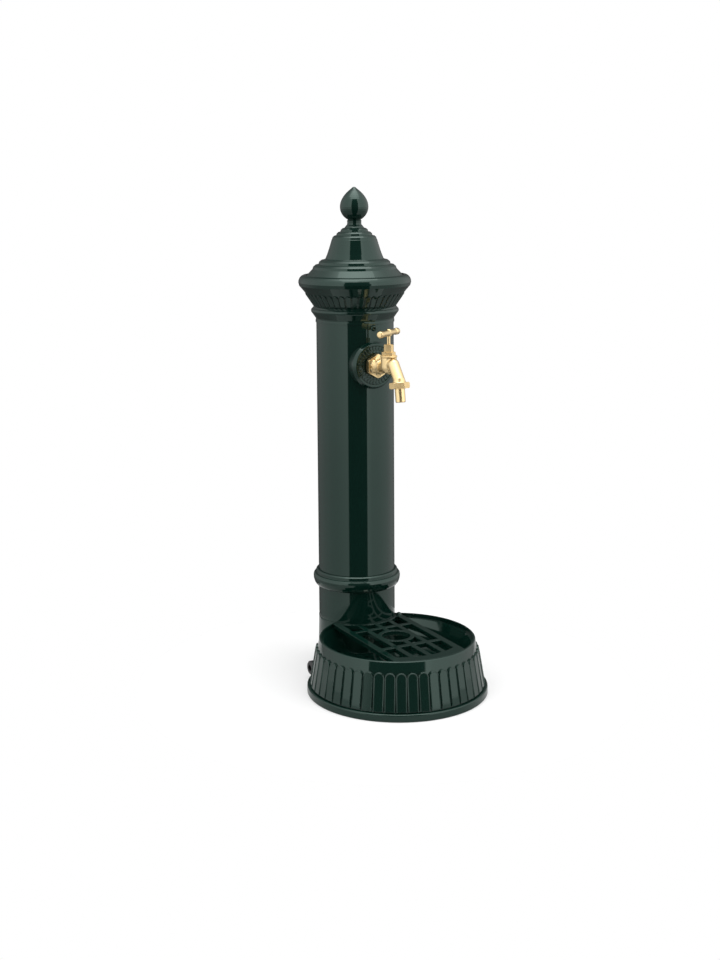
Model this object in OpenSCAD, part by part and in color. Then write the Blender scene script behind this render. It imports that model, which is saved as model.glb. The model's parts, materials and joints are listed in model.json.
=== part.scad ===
// Standing garden fountain: a fluted basin with a lift-out grate, a round column
// with a bell-shaped cap and finial, and a brass tap fed by a pipe inside the column.
// The origin is on the ground, under the middle of the fountain. The tap faces -Y.

/* [Basin] */
// Outer radius of the foot ring on the ground
foot_r = 130; // [127:1:133]
// Height of the foot ring
foot_h = 11; // [9:1:12]
// Step from the foot ring in to the wall above it
foot_ledge = 6.5; // [5.5:0.5:8]
// Outer radius of the basin at its rim
rim_r = 112; // [111:0.5:114]
// Height of the rim above the ground
rim_h = 79.5; // [78:0.5:84]
// Thickness of the cast walls and floor
wall_t = 4; // [3.5:0.25:4.5]
// Width of the rim's top edge
rim_t = 3.2; // [2.5:0.1:4]
// Height of the bowl's floor above the ground
floor_h = 36; // [35:0.5:39]
// Radius of the bowl's flat floor
floor_r = 92; // [88:1:95]
// Thickness of the boss round the drain
drain_boss_t = 8; // [6:0.5:9]

/* [Flutes] */
// Number of tongues in a full turn of the basin
flute_count = 48; // [44:2:52]
// How far each tongue stands out from the wall
flute_proud = 2.2; // [1.5:0.1:2.6]
// Height of the tongues' round tops above the ground
flute_top_h = 64.5; // [61:0.5:66]
// Gap between two tongues at their feet
flute_gap = 1.4; // [1:0.1:2]

/* [Column] */
// Distance between the basin's centre and the column's axis
axis_gap = 124.5; // [120:0.5:127]
// Outer radius of the column tube
column_r = 57; // [56:0.25:58]
// Wall of the column tube
column_t = 3.5; // [3:0.25:4]
// Height of the column tube's upper end above the ground
column_top_h = 523.5; // [515:0.5:540]
// Outer radius of the pedestal at its foot
pedestal_foot_r = 59; // [58.5:0.25:61]
// Outer radius of the pedestal at the rim's height
pedestal_top_r = 57.5; // [56.5:0.25:58.25]
// Thickness of the plate that closes the top of the pedestal
pedestal_plate_t = 8; // [6:0.5:9]
// Height of the socket above the pedestal
socket_len = 72; // [68:0.5:80]
// Depth of the tube's seat in the socket
seat_depth = 14; // [11:0.5:16]
// How far the socket's roll stands out from the tube
roll_proud = 8; // [6:0.5:9]
// Height of the socket's roll
roll_h = 19; // [16:0.5:20]

/* [Capital and roof] */
// Height of the capital, from the tube's end to its top
capital_h = 69; // [66:0.5:73]
// Radius of the capital's lip, the widest part of the head
lip_r = 82.8; // [80:0.2:86]
// Height of the rounded lip
lip_h = 14; // [12:0.5:15]
// Radius of the bead under the frieze
bead_r = 64.6; // [63:0.2:66]
// Height of the bead's middle above the tube's end
bead_rise = 17; // [15:0.5:18]
// Outer radius of the roof's foot, inside the lip
roof_foot_r = 70.3; // [69:0.1:71.5]
// Height of the roof, from its foot to the finial's seat
roof_h = 70; // [66:0.5:76]
// Thickness of the cast roof and capital
shell_t = 4; // [3.5:0.25:4.5]
// Greatest radius of the finial's bud
bud_r = 20.8; // [19:0.2:22]
// Height of the finial above the roof
finial_h = 57.5; // [54:0.1:62]
// Radius of the finial's neck
finial_neck_r = 10.3; // [9.5:0.1:11]
// Number of leaves round the frieze
leaf_count = 46; // [40:2:50]
// How far each leaf stands out from the frieze
leaf_proud = 1.2; // [0.8:0.1:1.4]

/* [Rosette] */
// Radius of the rosette at the column
rosette_r = 34.5; // [33:0.25:36]
// Radius of the rosette's face
rosette_face_r = 31.5; // [30.5:0.25:32.5]
// How far the rosette's face stands out from the column
rosette_proud = 6.75; // [6:0.25:8]
// Width of the tab above the rosette
tab_w = 18; // [16:0.5:20]
// How far the tab stands out from the column
tab_t = 1.5; // [1.2:0.1:2.5]
// Distance of the rosette screw below the tube's upper end
screw_drop = 5; // [4:0.25:6.5]
// Number of petals round the rosette
petal_count = 32; // [26:2:34]
// How far the petals rise from the rosette's sunken face
petal_rise = 0.8; // [0.6:0.05:0.9]

/* [Tap] */
// Distance of the tap's axis below the tube's upper end
tap_drop = 58.5; // [54:0.5:66]
// Radius of the tap's threaded shank
shank_r = 10.4; // [9.9:0.1:10.6]
// Width across the flats of the tap's hexagon
tap_hex_af = 31; // [28:0.5:32]
// Length of the tap's hexagon
tap_hex_len = 8; // [7:0.5:10]
// Radius of the collar in front of the hexagon
neck_collar_r = 10.6; // [9.8:0.1:11]
// Length of that collar
neck_collar_len = 9; // [7:0.5:11]
// Distance from the column's axis to the spindle's axis
stem_reach = 103; // [101:0.5:106]
// Radius of the tap's barrel
barrel_r = 11.3; // [11:0.1:12]
// Radius of the waterway in the tap
bore_r = 4; // [3.5:0.1:4.2]
// Radius of the spout's tube
spout_r = 8.2; // [7.8:0.1:8.5]
// Length of the spout from the spindle's axis to its knee
spout_start = 14; // [12:0.5:16]
// Angle through which the spout bends down at its knee
spout_bend = 52; // [48:1:56]
// Length of the spout from its knee to the outlet
spout_run = 26; // [24:0.5:28]
// Lean of the outlet from upright
outlet_lean = 8; // [5:1:10]

/* [Handle and valve] */
// Length of the crossbar
bar_len = 58; // [52:1:64]
// Radius of the crossbar's knobs
knob_r = 4.9; // [4.5:0.1:5.3]
// Radius of the crossbar beside its hub
bar_r = 4.1; // [3.6:0.1:4.4]
// Turn of the crossbar from the tap's cross direction, with the valve shut
bar_turn = 35; // [0:5:60]
// Radius of the spindle's stem
stem_r = 2.5; // [2.3:0.1:2.7]
// Height of the crossbar's axis above the tap's axis
bar_rise = 51; // [49.5:0.5:54]
// How far the valve lifts from shut to fully open
valve_lift = 3.75; // [3:0.25:4]

/* [Hose union] */
// Width across the flats of the union nut
union_af = 25; // [24.5:0.5:28]
// Height of the union nut
union_h = 8.5; // [8:0.25:9.5]
// Outer radius of the hose tail
tail_r = 7.1; // [6.5:0.1:7.4]
// Length of the hose tail below the union nut
tail_len = 19.5; // [17:0.5:24]

/* [Grate and drain] */
// Width of the grate
grate_w = 111.5; // [108:0.5:114]
// Thickness of the grate
grate_t = 6.5; // [5.5:0.25:7]
// Width of the grate's bars
bar_w = 7; // [6:0.25:7.5]
// Radius of the round hole over the drain
eye_r = 20.5; // [18:0.5:21]
// Width of the ring round that hole
eye_ring_w = 6; // [5:0.25:6.5]
// Radius of the drain's strainer
strainer_r = 26; // [24:0.5:27]
// Outer radius of the drain's threaded tail
drain_tail_r = 14; // [13:0.25:15]

/* [Supply] */
// Outer radius of the supply pipe
pipe_r = 6; // [5.5:0.25:6.25]
// Wall of the supply pipe
pipe_t = 1; // [0.8:0.1:1.2]
// Height of the supply connector above the ground
supply_h = 18.5; // [17:0.5:19]
// Distance of the pipe in front of the column's axis
pipe_offset = 32; // [30:0.5:34]
// How far the connector's end stands out past the foot ring
connector_proud = 4.2; // [3:0.1:6]
// Radius of the connector's end
connector_r = 10.4; // [9.8:0.1:10.6]

/* [Fit] */
// Gap between parts that are screwed or stood together round a curve
seat_gap = 0.3; // [0.2:0.05:0.4]
// Radial clearance of a thread in its hole
thread_gap = 0.15; // [0.1:0.05:0.25]
// Radial clearance of a part that turns or slides
run_gap = 0.06; // [0.04:0.01:0.09]

/* [Hidden] */
$fn = 96;
// Overlap of one shape into the next inside a single solid, and overrun of a cut
eps = 0.5;

// Places in plan
depth = foot_r + axis_gap + lip_r;
basin_y = foot_r - depth / 2;
column_y = basin_y + axis_gap;
pipe_y = column_y - pipe_offset;

// Levels of the stacked castings
plate_h = rim_h - pedestal_plate_t;
socket_top_h = rim_h + socket_len;
tube_foot_h = socket_top_h - seat_depth;
capital_top_h = column_top_h + capital_h;
roof_top_h = capital_top_h + roof_h;
tap_h = column_top_h - tap_drop;
rosette_screw_rise = tap_drop - screw_drop;

// Wall of the basin
wall_foot_r = foot_r - foot_ledge;
function wall_r(z) = rim_r + (rim_h - z) * (wall_foot_r - rim_r) / (rim_h - foot_h);
rebate_r = rim_r - rim_t;
ledge_h = rim_h - grate_t;
ledge_w = 3;
floor_under_h = floor_h - wall_t;

// Colours
green = [0.05, 0.16, 0.13];
brass = [0.86, 0.72, 0.42];
steel = [0.62, 0.62, 0.6];
black = [0.09, 0.09, 0.09];
copper = [0.72, 0.43, 0.28];

// Points of an arc, as [radius, height] pairs
function arc(c, r, from, to, n = 8) =
    [for (i = [0:n]) let (a = from + (to - from) * i / n) [c[0] + r * cos(a), c[1] + r * sin(a)]];

// Points of n quarter-round steps that climb inwards from point a to point b
function rolls(a, b, n) =
    let (dr = (a[0] - b[0]) / n, dz = (b[1] - a[1]) / n)
    [for (i = [0:n - 1]) for (k = [0:3])
        [a[0] - i * dr - dr * (1 - cos(30 * k)), a[1] + i * dz + dz * sin(30 * k)]];

module at_basin(z = 0) translate([0, basin_y, z]) children();
module at_column(z = 0) translate([0, column_y, z]) children();
// The tap's axis: local +Z runs forwards from the column's axis, local +Y is up
module at_tap(reach = 0) translate([0, column_y - reach, tap_h]) rotate([90, 0, 0]) children();
// The spindle's axis, with heights counted from the tap's axis
module at_stem(z = 0) translate([0, column_y - stem_reach, tap_h + z]) children();

module hexagon(af, h) rotate(30) cylinder(h = h, r = af / 2 / cos(30), $fn = 6);

// A hexagon nut with its corners turned off at both ends
module hex_nut(af, h, bore) {
    corner_r = af / 2 / cos(30);
    chamfer = (corner_r - af / 2) * 0.6;
    difference() {
        intersection() {
            hexagon(af, h);
            rotate_extrude() polygon([[0, 0], [corner_r - chamfer, 0], [corner_r, chamfer],
                                      [corner_r, h - chamfer], [corner_r - chamfer, h], [0, h]]);
        }
        translate([0, 0, -eps]) cylinder(h = h + 2 * eps, r = bore);
    }
}

module tube(h, outer, inner) {
    difference() {
        cylinder(h = h, r = outer);
        translate([0, 0, -eps]) cylinder(h = h + 2 * eps, r = inner);
    }
}

// Places on the supply line
rod_r = 4;
rod_hole_r = rod_r + 1;
pipe_hole_r = pipe_r + 2;
elbow_leg = 17;
tap_leg = 24;
pipe_socket = 10;
pipe_nut_h = 9;
pipe_nut_af = 19;
leg_r = 9;
nut_room = 0.5;

// Basin with its pedestal, one hollow casting
spotface_r = connector_r + 3.5;
seal_t = 1.5;
connector_reach = sqrt(pow(foot_r, 2) - pow(axis_gap - pipe_offset, 2)) + connector_proud;
connector_face = connector_reach - 12;
connector_shank_r = 8.2;
connector_shank_len = 27;
boss_len = 16;
bowl_round = 12;

module basin_outside() {
    at_basin() rotate_extrude() polygon(concat(
        [[0, 0], [foot_r - 1, 0], [foot_r, 1]],
        arc([foot_r - 2, foot_h - 2], 2, 0, 90, 4),
        [[wall_r(foot_h), foot_h], [rim_r, rim_h - 1], [rim_r - 1, rim_h], [0, rim_h]]));
}

module pedestal_outside() {
    at_column() cylinder(h = rim_h, r1 = pedestal_foot_r, r2 = pedestal_top_r);
}

module bowl_space() {
    ledge_r = rebate_r - ledge_w;
    at_basin() rotate_extrude() polygon(concat(
        [[0, floor_h], [floor_r - bowl_round, floor_h]],
        arc([floor_r - bowl_round, floor_h + bowl_round], bowl_round, -80, -20, 5),
        [[ledge_r, ledge_h], [rebate_r, ledge_h], [rebate_r, rim_h + eps], [0, rim_h + eps]]));
}

// The hollow under the bowl, between its wall and the outer skirt
module under_space() {
    gap_top_h = (floor_h + rim_h) / 2;
    bowl_out_r = (rebate_r - ledge_w + floor_r) / 2 + wall_t;
    inner_foot_r = wall_foot_r - wall_t;
    at_basin() rotate_extrude() polygon([
        [0, -eps], [inner_foot_r, -eps], [inner_foot_r, foot_h],
        [wall_r(gap_top_h) - wall_t, gap_top_h], [bowl_out_r, gap_top_h],
        [floor_r + wall_t / 2, floor_under_h + wall_t], [floor_r - bowl_round, floor_under_h],
        [0, floor_under_h]]);
}

// The raised tongues round the wall, which lean with it, left out behind the pedestal
// and round the supply connector
flute_foot_gap = 1;
flute_root = 1;

module tongues() {
    half = wall_foot_r * sin(180 / flute_count) - flute_gap / 2;
    foot = foot_h + flute_foot_gap;
    lean = atan((wall_foot_r - rim_r) / (rim_h - foot_h));
    long = (flute_top_h - foot) / cos(lean);
    hidden = acos((pow(wall_foot_r, 2) + pow(axis_gap, 2) - pow(pedestal_foot_r, 2))
                  / (2 * wall_foot_r * axis_gap));
    connector_turn = 180 + atan(connector_face / (axis_gap - pipe_offset));
    cleared = asin(spotface_r / wall_foot_r) + 180 / flute_count;
    for (i = [0:flute_count - 1]) let (turn = (i + 0.5) * 360 / flute_count)
        if (abs(turn - 180) > hidden && abs(turn - connector_turn) > cleared)
            rotate(turn) translate([0, flute_root - wall_r(foot), foot]) rotate([90 - lean, 0, 0])
                linear_extrude(flute_proud + flute_root)
                    polygon(concat([[-half, 0], [half, 0]], arc([0, long - half], half, 0, 180, 6)));
}

module basin() color(green) {
    difference() {
        union() {
            difference() {
                union() {
                    basin_outside();
                    pedestal_outside();
                }
                difference() {
                    bowl_space();
                    pedestal_outside();
                }
                under_space();
                at_column(-eps) cylinder(h = plate_h + eps, r = pedestal_top_r - wall_t - 1);
            }
            // Boss of the supply connector, faced square to the pipe
            intersection() {
                basin_outside();
                translate([-connector_face + boss_len, pipe_y, supply_h]) rotate([0, -90, 0])
                    cylinder(h = foot_r, r = spotface_r + wall_t);
            }
            // Thick ring of the floor, which the drain is clamped to
            at_basin(floor_h - drain_boss_t)
                cylinder(h = drain_boss_t - wall_t + eps, r = strainer_r);
            at_basin() tongues();
            // Low ring on the pedestal, which centres the socket
            at_column(rim_h - eps) cylinder(h = register_h + eps, r = column_bore_r - seat_gap);
        }
        at_column(plate_h - eps) cylinder(h = rim_h - plate_h + register_h + 2 * eps, r = rod_hole_r);
        translate([0, pipe_y, plate_h - eps])
            cylinder(h = rim_h - plate_h + register_h + 2 * eps, r = pipe_hole_r);
        at_basin(floor_h - drain_boss_t - eps)
            cylinder(h = drain_boss_t + 2 * eps, r = drain_tail_r + seat_gap);
        translate([-shank_inner, pipe_y, supply_h]) rotate([0, -90, 0])
            cylinder(h = connector_shank_len + eps, r = connector_shank_r + thread_gap);
        // Room for the nut on the connector's inner end
        translate([pipe_nut_h + nut_room - shank_inner, pipe_y, supply_h]) rotate([0, -90, 0])
            cylinder(h = pipe_nut_h + 2 * nut_room, r = pipe_nut_af / 2 / cos(30) + nut_room);
        translate([-connector_face, pipe_y, supply_h]) rotate([0, -90, 0])
            cylinder(h = foot_r - connector_face, r = spotface_r);
    }
}

// Grate, flush with the rim and resting on the ledge inside it; a domed lug at its
// rear right corner gives a grip
side_bar_w = 9.5;
front_bar_w = 16;
rear_bar_w = 3;
front_row_y = -45;
rear_row_y = 47;
eye_y = 3;
eye_row_gap = 8;
lug_r = 4.2;
lug_at = [grate_w / 2 - lug_r - 0.05, 87];

module slot_row(xs, from, to) {
    for (x = xs) translate([x[0], from]) square([x[1] - x[0], to - from]);
}

module between_rims(front_bar = 0, rear_bar = 0) {
    difference() {
        circle(r = rebate_r - seat_gap - front_bar);
        translate([0, axis_gap]) circle(r = pedestal_top_r + 2 * seat_gap + rear_bar);
    }
}

module grate() color(green) {
    edge = grate_w / 2 - side_bar_w;
    half_bar = bar_w / 2;
    mid = edge / 2 + half_bar / 2;
    columns = [[-edge, -mid - half_bar], [-mid + half_bar, -half_bar],
               [half_bar, mid - half_bar], [mid + half_bar, edge]];
    outer_columns = [columns[0], columns[3]];
    inner_columns = [columns[1], columns[2]];
    at_basin(rim_h) translate(lug_at) sphere(r = lug_r);
    at_basin(rim_h - grate_t) difference() {
        linear_extrude(grate_t) difference() {
            intersection() {
                between_rims();
                square([grate_w, 2 * rim_r], center = true);
            }
            intersection() {
                between_rims(front_bar_w, rear_bar_w);
                union() {
                    slot_row(columns, -rim_r, front_row_y);
                    slot_row(columns, rear_row_y, axis_gap);
                }
            }
            slot_row(outer_columns, front_row_y + bar_w, rear_row_y - bar_w);
            difference() {
                slot_row(inner_columns, front_row_y + eye_row_gap, rear_row_y - bar_w);
                translate([0, eye_y]) circle(r = eye_r + eye_ring_w);
            }
            translate([0, eye_y]) circle(r = eye_r);
        }
    }
}
// Drain: a perforated strainer screwed down on a threaded tail under the floor
strainer_t = 1.6;
drain_wall = 2.5;
drain_flange_t = 3;
drain_gasket_t = 2;
drain_screw_r = 2.5;
drain_clear_h = 6;
drain_flange_h = floor_h - drain_boss_t - drain_gasket_t;

module drain_strainer() color(steel) {
    hole_r = 2.3;
    at_basin(floor_h) difference() {
        rotate_extrude() polygon([[0, 0], [strainer_r, 0], [strainer_r, 0.6],
                                  [strainer_r - 2, strainer_t], [0, strainer_t]]);
        translate([0, 0, -eps]) cylinder(h = strainer_t + 2 * eps, r = drain_screw_r + thread_gap);
        for (i = [0:7]) rotate(i * 45 + 22.5) translate([drain_tail_r - drain_wall - hole_r - 0.5, 0, -eps])
            cylinder(h = strainer_t + 2 * eps, r = hole_r);
    }
}

module drain_screw() color(steel) {
    at_basin(floor_h) difference() {
        union() {
            translate([0, 0, strainer_t]) rotate_extrude()
                polygon([[0, 0], [5, 0], [4.6, 1.6], [3, 2.5], [0, 2.8]]);
            translate([0, 0, -drain_boss_t]) cylinder(h = drain_boss_t + strainer_t + eps, r = drain_screw_r);
        }
        translate([-6, -0.6, strainer_t + 1.6]) cube([12, 1.2, 3]);
    }
}

module drain_tail() color(steel) {
    bridge_w = 9;
    bore = drain_tail_r - drain_wall;
    at_basin() difference() {
        union() {
            difference() {
                union() {
                    translate([0, 0, drain_clear_h])
                        cylinder(h = floor_h - seat_gap - drain_clear_h, r = drain_tail_r);
                    translate([0, 0, drain_flange_h - drain_flange_t])
                        cylinder(h = drain_flange_t, r = strainer_r - 3);
                }
                translate([0, 0, drain_clear_h - eps]) cylinder(h = floor_h, r = bore);
            }
            translate([-bore - eps, -bridge_w / 2, floor_h - drain_boss_t])
                cube([2 * (bore + eps), bridge_w, 4]);
        }
        translate([0, 0, floor_h - drain_boss_t - eps])
            cylinder(h = drain_boss_t, r = drain_screw_r + thread_gap);
    }
}

module drain_gasket() color(black) {
    at_basin(drain_flange_h) tube(drain_gasket_t, strainer_r - 3, drain_tail_r + seat_gap);
}

// Socket: the lower casting of the column, with the roll that hides the tube's seat
column_bore_r = column_r - column_t;
register_h = 3;
collar_h = 5.5;
collar_proud = 3.8;

module column_socket() color(green) {
    roll_top = socket_len - collar_h;
    belly = roll_top - roll_h * 0.27;
    foot = roll_top - roll_h;
    at_column(rim_h) rotate_extrude() polygon(concat(
        [[column_bore_r, 0], [column_r, 0], [column_r, foot]],
        [for (a = [15:15:90]) [column_r + roll_proud * sin(a), belly - (belly - foot) * cos(a)]],
        [for (a = [30:30:90]) [column_r + collar_proud + 0.7 + (roll_proud - collar_proud - 0.7) * cos(a),
                               belly + (roll_top - belly) * sin(a)]],
        [[column_r + collar_proud, roll_top], [column_r + collar_proud, socket_len - 1.5],
         [column_r + collar_proud - 1.5, socket_len], [column_r + seat_gap, socket_len],
         [column_r + seat_gap, socket_len - seat_depth], [column_bore_r, socket_len - seat_depth]]));
}

module column_tube() color(green) {
    difference() {
        at_column(tube_foot_h) tube(column_top_h - tube_foot_h, column_r, column_bore_r);
        at_tap(column_r / 2) cylinder(h = column_r, r = shank_r + seat_gap);
        at_tap(column_r / 2) translate([0, rosette_screw_rise, 0])
            cylinder(h = column_r, r = rosette_screw_r + thread_gap);
    }
}

// Capital: spigot, cove, bead, flared frieze and rounded lip
spigot_len = 18;
spigot_t = 4.2;
bead_round = 4;
lip_round_w = 9;
roof_seat_depth = 7;
roof_groove = 1.8;

// The leaves round the frieze, which lean out with it
leaf_root = 0.9;

module leaves() {
    lean = atan((lip_r - bead_r) / (capital_h - lip_h - bead_rise));
    foot = [bead_r - 5, bead_rise + 7.6];
    foot_half = foot[0] * sin(180 / leaf_count) - 0.6;
    top_half = foot_half + 0.5;
    long = capital_h - lip_h - foot[1] - 9;
    at_column(column_top_h) for (i = [0:leaf_count - 1])
        rotate((i + 0.5) * 360 / leaf_count) translate([0, -foot[0], foot[1]]) rotate([90 + lean, 0, 0])
            translate([0, 0, -leaf_root]) linear_extrude(leaf_proud + leaf_root)
                polygon(concat([[-foot_half, 0], [foot_half, 0]],
                               arc([0, long - top_half], top_half, 0, 180, 6)));
}

module capital() color(green) {
    spigot_r = column_bore_r - seat_gap;
    neck_h = bead_rise + 6.8;
    throat_r = bead_r - 4.5;
    lip_foot_h = capital_h - lip_h - 1.5;
    flare = lip_r - 1.2 - throat_r;
    nose_h = capital_h - lip_h * 0.77;
    seat_r = roof_foot_r + roof_groove;
    seat_h = capital_h - roof_seat_depth;
    outside = concat(
        [[spigot_r, 0], [column_r + 1, 0], [column_r + 1, 3], [column_r + 0.5, 4],
         [column_r + 0.7, bead_rise - 11]],
        arc([bead_r - bead_round, bead_rise], bead_round, -35, 60, 6),
        [for (u = [0:0.125:1]) [throat_r + flare * pow(u, 1.2), neck_h + (lip_foot_h - neck_h) * u]],
        [for (a = [0:15:90]) [lip_r - lip_round_w * (1 - cos(a)), nose_h + (capital_h - nose_h) * sin(a)]]);
    inside = [[seat_r, capital_h], [seat_r, seat_h], [seat_r - 4 - roof_groove, seat_h],
              [seat_r - 4 - roof_groove, lip_foot_h - 4], [spigot_r - spigot_t, neck_h - 5],
              [spigot_r - spigot_t, -spigot_len], [spigot_r, -spigot_len]];
    difference() {
        union() {
            at_column(column_top_h) rotate_extrude() polygon(concat(outside, inside));
            leaves();
        }
        at_tap(column_r / 2) translate([0, rosette_screw_rise, 0])
            cylinder(h = column_r / 2, r = rosette_screw_r + thread_gap);
    }
}

// Roof: a low cone, two rolls, a bell and three rolls up to the finial
module roof() color(green) {
    cone_top = [roof_foot_r - 8.5, 8.5];
    bell_foot = [roof_foot_r - 26, 22.5];
    bell_top = [roof_foot_r - 37, roof_h - 19];
    crown = [finial_neck_r + 4, roof_h - 1.8];
    outside = concat(
        [[roof_foot_r, -roof_seat_depth], [roof_foot_r, -0.5]],
        rolls(cone_top, bell_foot, 2),
        [[bell_foot[0] - 0.2, bell_foot[1] + 0.2]],
        [for (u = [0:0.25:1]) [bell_foot[0] - 1.6 - (bell_foot[0] - 1.6 - bell_top[0]) * pow(u, 0.85),
                              bell_foot[1] + 1 + (bell_top[1] - bell_foot[1] - 1) * u]],
        rolls([bell_top[0] - 0.6, bell_top[1] + 1], crown, 3),
        [crown, [crown[0] - 1, roof_h], [0, roof_h]]);
    inside = [[0, roof_h - 2 * shell_t], [crown[0] - 2, roof_h - 2 * shell_t],
              [bell_top[0] - shell_t - 1, bell_top[1] - 1],
              [bell_foot[0] - shell_t - 2, bell_foot[1] - 3],
              [cone_top[0] - shell_t - 4, cone_top[1] - 3.5], [roof_foot_r - shell_t, -3],
              [roof_foot_r - shell_t, -roof_seat_depth]];
    at_column(capital_top_h) difference() {
        rotate_extrude() polygon(concat(outside, inside));
        translate([0, 0, roof_h - 3 * shell_t]) cylinder(h = 4 * shell_t, r = rod_hole_r);
    }
}

// Finial: a pointed bud on a short neck, tapped for the tie rod
module finial() color(green) {
    bud_h = bud_r + 7.7;
    point_h = finial_h - bud_h;
    blend = asin((bud_h - 10) / bud_r);
    at_column(roof_top_h) difference() {
        rotate_extrude() polygon(concat(
            [[0, 0], [finial_neck_r + 2.5, 0], [finial_neck_r + 2, 1.2], [finial_neck_r + 0.4, 2.6],
             [finial_neck_r, 5], [finial_neck_r + 0.3, 8.5]],
            arc([0, bud_h], bud_r, -blend, 0, 8),
            [for (u = [0.1:0.1:0.9]) [bud_r * pow(1 - u * u, 0.9), bud_h + point_h * u]],
            [[bud_r * 0.09, bud_h + point_h * 0.985], [0, finial_h]]));
        translate([0, 0, -eps]) cylinder(h = rod_grip + 2, r = rod_r + thread_gap);
    }
}

// Tie rod that clamps roof, capital, tube and socket down on the pedestal
rod_grip = 18;
rod_washer_t = 2;
rod_nut_h = 6.5;
rod_nut_af = 13;

module tie_rod() color(steel) {
    foot = plate_h - rod_washer_t - rod_nut_h - 4;
    at_column(foot) cylinder(h = roof_top_h + rod_grip - foot, r = rod_r);
}

module rod_washer() color(steel) {
    at_column(plate_h - rod_washer_t) tube(rod_washer_t, 12, rod_r + seat_gap);
}

module rod_nut() color(steel) {
    at_column(plate_h - rod_washer_t - rod_nut_h) hex_nut(rod_nut_af, rod_nut_h, rod_r + thread_gap);
}

// Rosette: a round saddle with a tab above it, screwed to the column
rosette_screw_r = 2;
rosette_rim_w = 3;
rosette_step = 0.9;
rosette_face = column_r + rosette_proud;
tab_top = rosette_screw_rise + 4.4;

// Two rings of ornament on the rosette's sunken face: petals outside, beads inside
bead_count = 24;
bead_ring_r = 19.3;
petal_root = 1;

module petals() {
    petal_ring_r = rosette_face_r - rosette_rim_w - 3.4;
    foot = rosette_face - rosette_step - petal_root;
    wide = petal_ring_r * sin(180 / petal_count) * 0.82;
    at_tap() for (i = [0:petal_count - 1]) rotate((i + 0.5) * 360 / petal_count)
        translate([0, petal_ring_r, foot]) linear_extrude(petal_root + petal_rise)
            polygon([[-0.6 * wide, -2.9], [0.6 * wide, -2.9], [wide, 0.6], [0.7 * wide, 2.2], [0, 2.7],
                     [-0.7 * wide, 2.2], [-wide, 0.6]]);
    at_tap() for (i = [0:bead_count - 1]) rotate((i + 0.5) * 360 / bead_count)
        translate([0, bead_ring_r, foot]) linear_extrude(petal_root + petal_rise) circle(r = 1.7, $fn = 8);
}

module rosette() color(green) {
    root = column_r - 14;
    floor_t = rosette_face - rosette_step;
    difference() {
        union() {
            at_tap() rotate_extrude() polygon(concat(
                [[0, root], [rosette_r, root], [rosette_r, rosette_face - 5]],
                [[rosette_face_r + 0.8, rosette_face - 1.2], [rosette_face_r, rosette_face],
                 [rosette_face_r - rosette_rim_w, rosette_face],
                 [rosette_face_r - rosette_rim_w - 0.6, floor_t], [0, floor_t]]));
            petals();
            intersection() {
                at_column(tap_h + rosette_face_r - 4)
                    cylinder(h = tab_top - rosette_face_r + 4, r = column_r + tab_t);
                translate([-tab_w / 2, column_y - column_r - tab_t, tap_h])
                    cube([tab_w, column_r / 2, tab_top]);
            }
        }
        at_column(tap_h - 2 * rosette_r) cylinder(h = 4 * rosette_r, r = column_r + seat_gap / 2);
        at_tap(column_r / 2) cylinder(h = column_r, r = shank_r + seat_gap);
        at_tap(column_r / 2) translate([0, rosette_screw_rise, 0])
            cylinder(h = column_r, r = rosette_screw_r + thread_gap);
    }
}

module rosette_screw() color(green) {
    head_r = 4.5;
    head_h = 2.4;
    seat = column_r + tab_t;
    at_tap() translate([0, rosette_screw_rise, 0]) difference() {
        union() {
            translate([0, 0, seat]) rotate_extrude()
                polygon([[0, 0], [head_r, 0], [head_r, 0.8], [head_r - 0.9, head_h - 0.4],
                         [head_r - 2, head_h], [0, head_h]]);
            translate([0, 0, column_r - 9]) cylinder(h = 9 + tab_t + eps, r = rosette_screw_r);
        }
        translate([0, 0, seat + head_h - 1.6]) hexagon(2.6, 3);
    }
}

// Fixing of the tap in the column's wall
tap_washer_t = 1.5;
tap_collar = rosette_face - rosette_step + tap_washer_t;
saddle_face = column_r - 10;
backnut_h = 6;
backnut_af = 27;
shank_end = saddle_face - backnut_h - 4.5;

module tap_washer() color(black) {
    at_tap() translate([0, 0, tap_collar - tap_washer_t])
        tube(tap_washer_t, shank_r + 3, shank_r + thread_gap);
}

module tap_saddle() color(steel) {
    difference() {
        intersection() {
            at_tap() translate([0, 0, saddle_face]) cylinder(h = column_r, r = shank_r + 6);
            at_column(tap_h - column_r) cylinder(h = 2 * column_r, r = column_bore_r - seat_gap);
        }
        at_tap() cylinder(h = column_r, r = shank_r + seat_gap);
    }
}

module tap_backnut() color(brass) {
    at_tap() translate([0, 0, saddle_face - backnut_h])
        hex_nut(backnut_af, backnut_h, shank_r + thread_gap);
}

// Tap body: shank, hexagon, upright barrel and bent spout with a threaded nozzle
neck_face = tap_collar + tap_hex_len;
seat_rise = 5.5;
barrel_top = 16.5;
barrel_round = 3;
chamber_r = 8.2;
inlet_drop = 1.5;
spout_rise = 7.5;
neck_r = 7.6;
barrel_lap = 3;
nozzle_r = 10.4;
nozzle_neck = 2.6;
nozzle_len = 4.8;
outlet = [stem_reach + spout_start, spout_rise] + spout_run * [cos(spout_bend), -sin(spout_bend)];

// The outlet's axis: local +Z points back up into the spout
module at_outlet(z = 0) {
    translate([0, column_y - outlet[0], tap_h + outlet[1]]) rotate([-outlet_lean, 0, 0])
        translate([0, 0, z]) children();
}

// A round stretch of the spout, from the barrel over its knee down to the outlet
module spout_path(r) {
    knee_r = r + 0.15;
    at_tap(stem_reach - barrel_lap) translate([0, spout_rise, 0])
        cylinder(h = spout_start + barrel_lap, r = r);
    at_tap(stem_reach + spout_start) translate([0, spout_rise, 0]) {
        sphere(r = knee_r);
        rotate([spout_bend, 0, 0]) cylinder(h = spout_run, r = r);
    }
    at_outlet() sphere(r = knee_r);
}

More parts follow.
